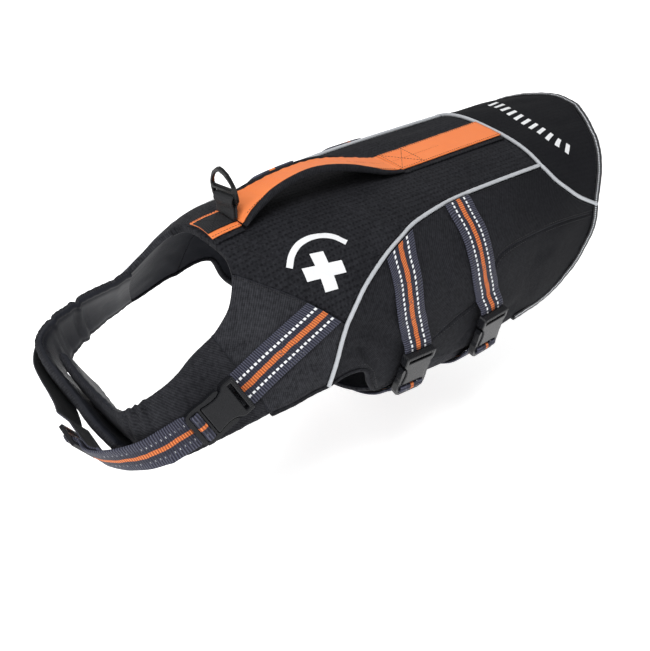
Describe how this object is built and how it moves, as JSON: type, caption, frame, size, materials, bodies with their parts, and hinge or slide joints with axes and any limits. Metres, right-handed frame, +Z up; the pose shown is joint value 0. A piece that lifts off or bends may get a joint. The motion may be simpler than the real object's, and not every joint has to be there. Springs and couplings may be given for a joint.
{
  "type": "dog life jacket",
  "caption": "Padded dog life jacket: foam-filled saddle of sewn panels with belly straps and side-release buckles, a neck strap with slider, a grab handle and a leash ring on the back.",
  "frame": {"origin": "inner face of the back lining on the spine line, at the rear foot of the grab handle, where the dog's back carries the jacket", "axes": "+Z up out of the dog's back, -Y towards the head, +X the dog's left"},
  "size_m": [0.2168, 0.5148, 0.2],
  "materials": {
    "oxford_cloth": "fine dobby-woven outer cloth, near black",
    "twill_cloth": "near-black twill",
    "lining_cloth": "smooth dark lining cloth over foam",
    "orange_cloth": "smooth orange webbing strip",
    "striped_webbing": "navy webbing, orange ribbed stripe, two white reflective dashed lines",
    "black_webbing": "black ribbed webbing",
    "reflective_piping": "light grey reflective piping",
    "edge_trim": "black binding with light flecks",
    "buckle_plastic": "moulded dark grey plastic, satin",
    "ring_plastic": "moulded black plastic"
  },
  "bodies": {
    "jacket": {"back_panel": "oxford_cloth", "rear_panel": "oxford_cloth", "belly_panel": "lining_cloth", "shoulder_left": "twill_cloth", "shoulder_right": "twill_cloth", "side_upper_left": "twill_cloth", "side_upper_right": "twill_cloth", "side_lower_left": "twill_cloth", "side_lower_right": "twill_cloth", "neck_band_left": "twill_cloth", "neck_band_right": "twill_cloth", "piping_left": "reflective_piping", "piping_right": "reflective_piping", "piping_arc": "reflective_piping", "hem_trim": "edge_trim", "leg_binding_left": "oxford_cloth", "leg_binding_right": "oxford_cloth", "base_front": "oxford_cloth", "base_rear": "oxford_cloth", "handle_core": "oxford_cloth", "strip_front": "orange_cloth", "strip_rear": "orange_cloth", "handle_strip": "orange_cloth", "ring_patch": "black_webbing", "ring_loop": "black_webbing", "belly_strap_front": "striped_webbing", "belly_strap_rear": "striped_webbing", "belly_web_front": "striped_webbing", "belly_web_rear": "striped_webbing", "neck_strap_left": "striped_webbing", "neck_strap_right": "striped_webbing", "chest_web": "striped_webbing", "buckle_socket_front": "buckle_plastic", "buckle_socket_rear": "buckle_plastic", "buckle_socket_neck": "buckle_plastic", "buckle_plug_front": "buckle_plastic", "buckle_plug_rear": "buckle_plastic", "buckle_plug_neck": "buckle_plastic", "slider": "buckle_plastic"},
    "ring": {"d_ring": "ring_plastic"}
  },
  "joints": [
    {"name": "ring_hinge", "type": "hinge", "parent": "jacket", "child": "ring", "pos_m": [0, -0.1585, 0.0215], "axis": [0.9781, 0.2079, 0], "range_deg": [-60, 70]}
  ]
}
